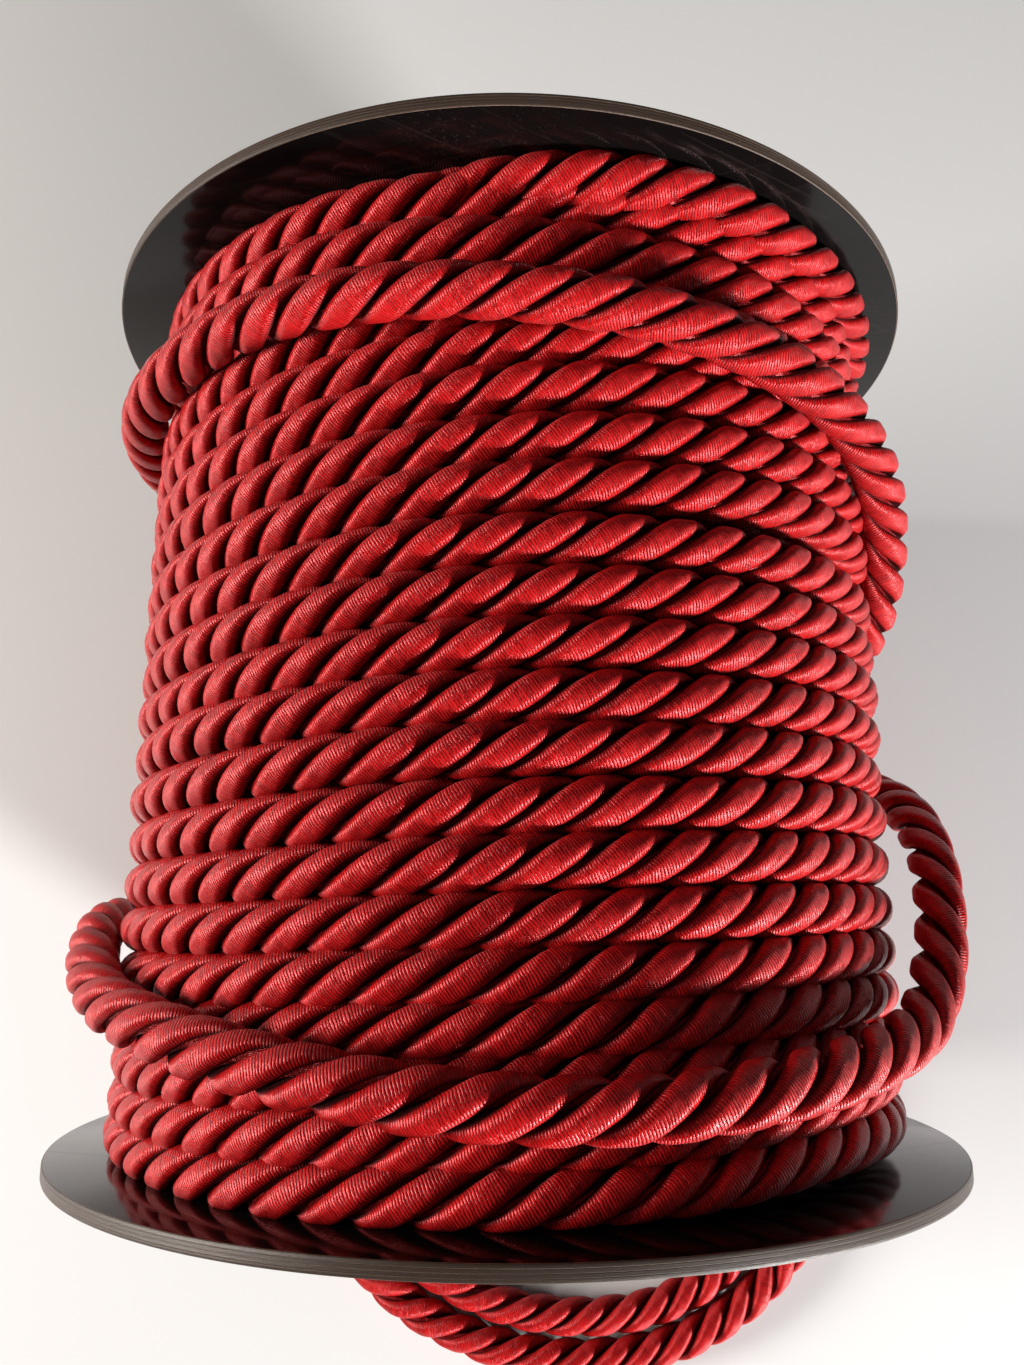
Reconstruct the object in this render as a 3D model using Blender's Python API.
# Reel of twisted satin cord, lying on its side.
# Metres, +Z up. X runs across the reel, Y along its axis from the near flange to the far one.
# The origin is on the surface under the middle of the reel.

from typing import NamedTuple

import bmesh
import bpy
import numpy as np

MM = 0.001

# Reel
FLANGE_RADIUS = 75.0 * MM
FLANGE_THICKNESS = 2.0 * MM
FLANGE_EDGE = 0.3 * MM
FLAT_HALF_WIDTH = 11.0 * MM
BETWEEN_FLANGES = 143.4 * MM
FLANGE_SEGMENTS = 90

# Cord
CORD_RADIUS = 4.0 * MM
CORD_LAY = 23.5 * MM
STEPS_PER_LAY = 8
LOBE_ANGLE = 18.0
GROOVE_RADIUS = 0.56
TOUCH = 0.3 * MM
PRESS_CLEARANCE = 0.7 * MM
END_ROOM = np.radians(10.0)

# Winding: a turn's centre line lies CORD_RADIUS below the crest of its ridge
CREST_RADIUS = 66.3 * MM
CREST_LEFT_BULGE = 0.5 * MM
CREST_TOP_BULGE = 0.4 * MM
VALLEY_DEPTH = 2.1 * MM
SHOULDER_DEPTH = 0.3 * MM
SHOULDER_AT = 0.3
WINDING_COLUMNS = 60

# Crossing turn: its section reaches down into the valleys that it bridges
CROSSING_DEPTH = 1.2 * MM
CROSSING_SIDES = 10
CROSSING_STEP = 5.0 * MM

# Derived from the sizes above
FLAT_ANGLE = np.arcsin(FLAT_HALF_WIDTH / FLANGE_RADIUS)
AXIS_HEIGHT = FLANGE_RADIUS * np.cos(FLAT_ANGLE)
NEAR_FACE = -BETWEEN_FLANGES / 2


class Band(NamedTuple):
    """Neighbouring turns that lie alike: lean rises to the right, dip drops to both sides."""

    turns: int
    pitch: float
    lean: float
    dip: float


BANDS = (
    Band(turns=5, pitch=6.5, lean=1.7, dip=0.0),
    Band(turns=4, pitch=7.15, lean=2.2, dip=0.9),
    Band(turns=4, pitch=7.15, lean=2.6, dip=1.9),
    Band(turns=3, pitch=7.15, lean=4.2, dip=1.9),
    Band(turns=2, pitch=7.6, lean=4.6, dip=1.0),
    Band(turns=2, pitch=7.8, lean=2.4, dip=0.2),
)


class Around(NamedTuple):
    """A point of a turn: degrees round the axis from the top, towards +X; distances in millimetres."""

    angle: float
    along: float
    radius: float


class Spot(NamedTuple):
    """A point on the surface or above it, in millimetres; along is counted from the near flange's face."""

    across: float
    along: float
    height: float


# The turn that crosses over its neighbours, from the left side of the reel over its top to the right side
CROSSING = (
    Around(angle=-128, along=124.0, radius=61.0),
    Around(angle=-100, along=122.0, radius=67.5),
    Around(angle=-70, along=120.6, radius=69.6),
    Around(angle=-30, along=120.6, radius=69.4),
    Around(angle=0, along=118.4, radius=69.6),
    Around(angle=32, along=115.0, radius=69.6),
    Around(angle=55, along=110.0, radius=69.6),
    Around(angle=70, along=103.0, radius=69.6),
    Around(angle=86, along=91.0, radius=69.0),
    Around(angle=104, along=82.0, radius=67.0),
    Around(angle=128, along=77.0, radius=61.0),
)

# The slack turn, from where it leaves the winding over the reel's right side and top to its left side
SLACK_TURN = (
    Around(angle=154, along=70.0, radius=69.2),
    Around(angle=138, along=68.5, radius=71.2),
    Around(angle=118, along=65.5, radius=73.0),
    Around(angle=100, along=60.5, radius=73.8),
    Around(angle=86, along=53.0, radius=74.0),
    Around(angle=75, along=42.0, radius=73.8),
    Around(angle=67, along=30.5, radius=73.0),
    Around(angle=58, along=21.8, radius=71.4),
    Around(angle=47, along=18.4, radius=70.4),
    Around(angle=30, along=15.8, radius=70.2),
    Around(angle=10, along=14.3, radius=70.2),
    Around(angle=-8, along=15.4, radius=70.2),
    Around(angle=-26, along=18.4, radius=70.2),
    Around(angle=-42, along=21.6, radius=70.2),
    Around(angle=-57, along=24.8, radius=70.2),
    Around(angle=-69, along=29.2, radius=70.2),
    Around(angle=-80, along=33.6, radius=70.4),
    Around(angle=-95, along=35.5, radius=70.8),
    Around(angle=-112, along=34.5, radius=71.6),
)

# The loose cord on the surface: out under the near flange and along the front to the right, back in under
# the reel, and out again beside itself to its free end
ON_SURFACE = (
    Spot(across=-62.2, along=31.0, height=29.0),
    Spot(across=-60.0, along=25.5, height=16.0),
    Spot(across=-57.0, along=16.5, height=7.2),
    Spot(across=-53.5, along=4.0, height=4.6),
    Spot(across=-48.0, along=-14.0, height=4.4),
    Spot(across=-40.0, along=-33.0, height=4.4),
    Spot(across=-25.5, along=-48.5, height=4.4),
    Spot(across=-4.5, along=-58.8, height=4.4),
    Spot(across=19.0, along=-61.8, height=4.4),
    Spot(across=43.0, along=-56.8, height=4.4),
    Spot(across=62.5, along=-43.0, height=4.4),
    Spot(across=74.0, along=-24.0, height=4.4),
    Spot(across=78.0, along=-4.0, height=4.4),
    Spot(across=78.5, along=16.0, height=4.4),
    Spot(across=76.0, along=30.0, height=4.4),
    Spot(across=68.0, along=39.5, height=4.4),
    Spot(across=57.5, along=42.5, height=4.4),
    Spot(across=47.0, along=39.5, height=4.4),
    Spot(across=39.5, along=31.0, height=4.4),
    Spot(across=37.0, along=19.0, height=4.4),
    Spot(across=39.5, along=5.0, height=4.4),
    Spot(across=46.5, along=-7.5, height=4.4),
    Spot(across=53.0, along=-19.0, height=4.4),
    Spot(across=54.5, along=-31.0, height=4.4),
    Spot(across=50.5, along=-41.5, height=4.4),
    Spot(across=37.5, along=-49.8, height=4.4),
    Spot(across=18.5, along=-53.2, height=4.4),
    Spot(across=-2.0, along=-50.5, height=4.4),
    Spot(across=-20.3, along=-41.4, height=4.4),
    Spot(across=-32.6, along=-28.2, height=4.4),
    Spot(across=-39.6, along=-11.0, height=4.4),
    Spot(across=-42.5, along=7.0, height=4.4),
    Spot(across=-41.5, along=20.0, height=4.4),
)


def clear_scene() -> None:
    """Removes the objects of the scene that the script starts in."""
    for old in list(bpy.data.objects):
        bpy.data.objects.remove(old)


def material(name: str, colour: tuple, roughness: float, metallic: float = 0.0) -> bpy.types.Material:
    """A plain Principled material."""
    made = bpy.data.materials.new(name)
    made.use_nodes = True
    shader = made.node_tree.nodes["Principled BSDF"]
    shader.inputs["Base Color"].default_value = (*colour, 1.0)
    shader.inputs["Roughness"].default_value = roughness
    shader.inputs["Metallic"].default_value = metallic
    return made


def add_object(
    name: str, shape: bmesh.types.BMesh, finish: bpy.types.Material, sharp: float
) -> bpy.types.Object:
    """Turns a bmesh into a smooth-shaded object of the scene."""
    bmesh.ops.recalc_face_normals(shape, faces=shape.faces)
    mesh = bpy.data.meshes.new(name)
    shape.to_mesh(mesh)
    shape.free()
    mesh.shade_smooth()
    mesh.set_sharp_from_angle(angle=np.radians(sharp))
    mesh.materials.append(finish)
    made = bpy.data.objects.new(name, mesh)
    bpy.context.scene.collection.objects.link(made)
    return made


def smooth_route(points: np.ndarray, step: float) -> np.ndarray:
    """Points about a step apart on a smooth curve (cubic Hermite) through the given ones."""
    chord = np.concatenate([[0.0], np.cumsum(np.linalg.norm(np.diff(points, axis=0), axis=1))])
    slopes = np.gradient(points, chord, axis=0)
    at = np.linspace(0.0, chord[-1], int(round(chord[-1] / step)) + 1)
    piece = np.clip(np.searchsorted(chord, at, side="right") - 1, 0, len(points) - 2)
    length = (chord[piece + 1] - chord[piece])[:, None]
    t = (at - chord[piece])[:, None] / length
    start = (2 * t**3 - 3 * t**2 + 1) * points[piece] + (t**3 - 2 * t**2 + t) * length * slopes[piece]
    end = (3 * t**2 - 2 * t**3) * points[piece + 1] + (t**3 - t**2) * length * slopes[piece + 1]
    return start + end


def turn_route(rows: tuple, step: float) -> np.ndarray:
    """Angle (radians), place along the axis and radius of points about a step apart on a turn."""
    flat = [(np.radians(row.angle) * CREST_RADIUS, row.along * MM, row.radius * MM) for row in rows]
    even = smooth_route(np.array(flat), step)
    even[:, 0] /= CREST_RADIUS
    return even


def on_reel(angle: np.ndarray, along: np.ndarray, radius: np.ndarray) -> np.ndarray:
    """World points from angle, place along the axis and radius."""
    return np.stack(
        [radius * np.sin(angle), NEAR_FACE + along, AXIS_HEIGHT + radius * np.cos(angle)], axis=-1
    )


def loose_route() -> np.ndarray:
    """Centre line of the loose cord: the slack turn, then its run over the surface."""
    slack = on_reel(*turn_route(SLACK_TURN, 2 * CORD_RADIUS).T)
    spots = [(spot.across * MM, NEAR_FACE + spot.along * MM, spot.height * MM) for spot in ON_SURFACE]
    return smooth_route(np.vstack([slack, spots]), CORD_LAY / STEPS_PER_LAY)


def closed_tube(rings: np.ndarray) -> bmesh.types.BMesh:
    """One closed body from rings of points, with a flat cap at each end."""
    shape = bmesh.new()
    loops = [[shape.verts.new(point) for point in ring] for ring in rings]
    count = len(loops[0])
    for lower, upper in zip(loops, loops[1:]):
        for i in range(count):
            j = (i + 1) % count
            shape.faces.new((lower[i], lower[j], upper[j], upper[i]))
    shape.faces.new(loops[0][::-1])
    shape.faces.new(loops[-1])
    return shape


def flange(name: str, inner_face: float, outward: int, finish: bpy.types.Material) -> None:
    """A thin disc with a small flat on its rim, on which the reel rests."""
    sweep = np.linspace(FLAT_ANGLE, 2 * np.pi - FLAT_ANGLE, FLANGE_SEGMENTS) - np.pi
    profile = (
        (FLANGE_EDGE, 0.0),
        (0.0, FLANGE_EDGE),
        (0.0, FLANGE_THICKNESS - FLANGE_EDGE),
        (FLANGE_EDGE, FLANGE_THICKNESS),
    )
    rings = []
    for inset, depth in profile:
        radius = FLANGE_RADIUS - inset
        ring = np.stack(
            [
                radius * np.sin(sweep),
                np.full_like(sweep, inner_face + outward * depth),
                np.maximum(AXIS_HEIGHT + radius * np.cos(sweep), inset),
            ],
            axis=-1,
        )
        rings.append(ring)
    add_object(name, closed_tube(np.array(rings)), finish, 30)


def turn_middles(angle: np.ndarray) -> np.ndarray:
    """Place along the axis of every turn's middle at the given angles, one row for each turn."""
    rows = []
    edge = 0.0
    for band in BANDS:
        for _ in range(band.turns):
            middle = edge + band.pitch / 2
            rows.append((middle + band.lean * np.sin(angle) - band.dip * np.sin(angle) ** 2) * MM)
            edge += band.pitch
    return np.array(rows)


def nearest_on_turn(route: np.ndarray, angle: np.ndarray, along: np.ndarray) -> tuple:
    """Distance along the axis to a turn's centre line at the same angle, and the line's radius there.

    Just past the turn's two ends the line is taken to run on, so that an end has room.
    """
    middle = np.interp(angle, route[:, 0], route[:, 1])
    radius = np.interp(angle, route[:, 0], route[:, 2])
    inside = (angle > route[0, 0] - END_ROOM) & (angle < route[-1, 0] + END_ROOM)
    return np.where(inside, np.abs(along - middle), np.inf), radius


def winding_rings() -> np.ndarray:
    """Rings of the wound form: a valley and two shoulders for each turn, pressed in under the slack turn."""
    angle = np.linspace(-np.pi, np.pi, WINDING_COLUMNS, endpoint=False)
    crest = CREST_RADIUS - CREST_LEFT_BULGE * np.sin(angle) + CREST_TOP_BULGE * np.cos(angle)
    middles = turn_middles(angle)
    low = np.full_like(angle, TOUCH)
    high = np.full_like(angle, BETWEEN_FLANGES - TOUCH)
    edges = np.vstack([low, (middles[1:] + middles[:-1]) / 2, high])
    rows = [(edges[0], VALLEY_DEPTH)]
    for lower, upper in zip(edges, edges[1:]):
        rows.append((lower + SHOULDER_AT * (upper - lower), SHOULDER_DEPTH))
        rows.append((upper - SHOULDER_AT * (upper - lower), 0.0))
        rows.append((upper, VALLEY_DEPTH))
    slack = turn_route(SLACK_TURN, MM)[::-1]
    rings = []
    for along, depth in rows:
        radius = crest - depth
        beside, middle = nearest_on_turn(slack, angle, along)
        reach = CORD_RADIUS + PRESS_CLEARANCE
        dent = middle - np.sqrt(np.maximum(reach**2 - beside**2, 0.0))
        radius = np.where(beside < reach, np.minimum(radius, dent), radius)
        rings.append(on_reel(angle, along, radius))
    return np.array(rings)


def crossing_rings() -> np.ndarray:
    """Rings of the crossing turn, each an oval that is deeper than it is wide."""
    route = turn_route(CROSSING, CROSSING_STEP)
    centres = on_reel(route[:, 0], route[:, 1], route[:, 2] - CROSSING_DEPTH)
    tangents = np.gradient(centres, axis=0)
    outward = np.stack([np.sin(route[:, 0]), np.zeros(len(route)), np.cos(route[:, 0])], axis=1)
    side = np.cross(tangents, outward)
    side /= np.linalg.norm(side, axis=1)[:, None]
    turn = np.linspace(0.0, 2 * np.pi, CROSSING_SIDES, endpoint=False)
    across = CORD_RADIUS * np.sin(turn)[None, :, None] * side[:, None, :]
    deep = (CORD_RADIUS + CROSSING_DEPTH) * np.cos(turn)[None, :, None] * outward[:, None, :]
    return centres[:, None, :] + across + deep


def cord_section() -> np.ndarray:
    """Outline of the three-strand cord: each lobe has two points on the cord's radius, then a groove."""
    points = []
    for strand in range(3):
        for turn, radius in ((-LOBE_ANGLE, 1.0), (LOBE_ANGLE, 1.0), (60.0, GROOVE_RADIUS)):
            angle = np.radians(120.0 * strand + turn)
            points.append((radius * CORD_RADIUS * np.cos(angle), radius * CORD_RADIUS * np.sin(angle)))
    return np.array(points)


def twisted_rings(route: np.ndarray) -> np.ndarray:
    """The cord's section carried along a route and turned left-handed, once in each lay."""
    tangents = np.gradient(route, axis=0)
    tangents /= np.linalg.norm(tangents, axis=1)[:, None]
    side = np.cross(tangents[0], (0.0, 1.0, 0.0))
    section = cord_section()
    rings = []
    for i, (point, tangent) in enumerate(zip(route, tangents)):
        side = side - tangent * side.dot(tangent)
        side /= np.linalg.norm(side)
        third = np.cross(tangent, side)
        turn = -2 * np.pi * i / STEPS_PER_LAY
        across = section[:, 0] * np.cos(turn) - section[:, 1] * np.sin(turn)
        up = section[:, 0] * np.sin(turn) + section[:, 1] * np.cos(turn)
        rings.append(point + across[:, None] * side + up[:, None] * third)
    return np.array(rings)


def fuse(body: bpy.types.Object, form: bpy.types.Object) -> None:
    """Joins a form, which is then only a guide, to a body."""
    form.hide_render = True
    form.display_type = "WIRE"
    union = body.modifiers.new("fuse", "BOOLEAN")
    union.operation = "UNION"
    union.solver = "EXACT"
    union.object = form


def main() -> None:
    """Builds the reel and its cord."""
    clear_scene()
    board = material("flange_board", (0.030, 0.022, 0.020), 0.16)
    wound = material("satin_cord", (0.50, 0.035, 0.040), 0.45)
    loose = material("satin_cord_loose", (0.47, 0.030, 0.036), 0.45)
    flange("flange_near", NEAR_FACE, -1, board)
    flange("flange_far", -NEAR_FACE, 1, board)
    winding = add_object("cord_winding", closed_tube(winding_rings()), wound, 50)
    crossing = add_object("crossing_turn_form", closed_tube(crossing_rings()), wound, 50)
    fuse(winding, crossing)
    add_object("cord_loose", closed_tube(twisted_rings(loose_route())), loose, 50)


main()
